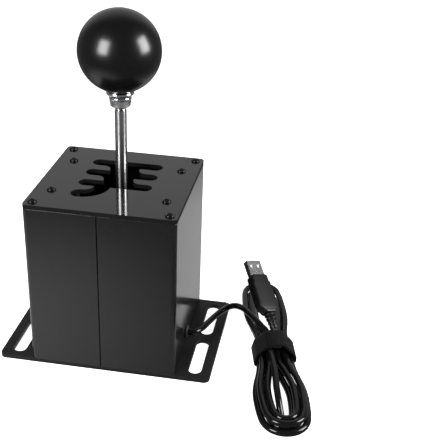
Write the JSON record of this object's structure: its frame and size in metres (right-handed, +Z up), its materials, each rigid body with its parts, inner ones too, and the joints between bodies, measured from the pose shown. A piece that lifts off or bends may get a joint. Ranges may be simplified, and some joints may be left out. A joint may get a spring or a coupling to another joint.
{
  "type": "gate shifter",
  "caption": "Desk gear shifter: boxed gimbal lever with a ball knob working in an H-pattern gate plate, slotted base and a tied USB lead.",
  "frame": {"origin": "middle of the base plate's underside, on the desk", "axes": "+Z up; +X along the gear throw, towards the cable outlet; +Y across the gate, away from the reverse gate"},
  "size_m": [0.2178, 0.1678, 0.2343],
  "materials": {
    "anodised_body": "satin",
    "black_screw": "satin",
    "machined_alloy": "machined",
    "plain_steel": "ground",
    "polished_steel": "polished",
    "brass": "machined",
    "circuit_green": "solder mask",
    "chip_black": "moulded",
    "pale_plastic": "moulded",
    "magnet_plate": "plated",
    "cable_black": "gloss",
    "grommet_rubber": "matte",
    "tie_fabric": "hook and loop",
    "plug_black": "moulded",
    "plug_metal": "nickel",
    "knob_gloss": "high gloss"
  },
  "bodies": {
    "housing": {"base_plate": "anodised_body", "left_body_half": "anodised_body", "right_body_half": "anodised_body", "gate_plate": "anodised_body", "gate_corner_screws": "black_screw", "base_screws": "black_screw", "carrier_screws": "black_screw", "standoffs": "brass", "pivot_frame": "machined_alloy", "frame_screws": "black_screw", "select_bushes": "brass", "centring_springs": "plain_steel", "circuit_board": "circuit_green", "board_spacers": "pale_plastic", "board_screws": "plain_steel", "gear_sensors": "chip_black", "controller_chip": "chip_black", "cable_header": "pale_plastic", "inner_lead": "cable_black", "cable_grommet": "grommet_rubber", "usb_lead": "cable_black", "cable_hank": "cable_black", "cable_tie": "tie_fabric", "plug_boot": "plug_black", "plug_overmould": "plug_black", "plug_shell": "plug_metal", "plug_tongue": "pale_plastic", "plug_contacts": "brass"},
    "selector": {"gimbal_ring": "machined_alloy", "select_pins": "plain_steel", "engage_pin": "plain_steel", "engage_washers": "plain_steel", "detent_spring": "plain_steel", "detent_screws": "black_screw"},
    "lever": {"lever_hub": "machined_alloy", "engage_bushes": "brass", "detent_cam": "machined_alloy", "cam_screws": "black_screw", "lever_rod": "polished_steel", "rod_lock_nut": "plain_steel", "sensor_tail": "plain_steel", "magnet_holder": "pale_plastic", "magnet": "magnet_plate", "knob_lock_nut": "polished_steel", "knob_collar": "polished_steel", "knob_insert": "brass", "knob": "knob_gloss"}
  },
  "joints": [
    {"name": "column_select", "type": "hinge", "parent": "housing", "child": "selector", "pos_m": [0, 0.009, 0.046], "axis": [1, 0, 0], "range_deg": [-12.8, 12.8], "stiffness_Nm_per_rad": 1.2, "deforming": ["centring_springs"]},
    {"name": "gear_engage", "type": "hinge", "parent": "selector", "child": "lever", "pos_m": [0, 0.009, 0.046], "axis": [0, 1, 0], "range_deg": [-14.7, 14.7], "deforming": ["detent_spring"]}
  ]
}
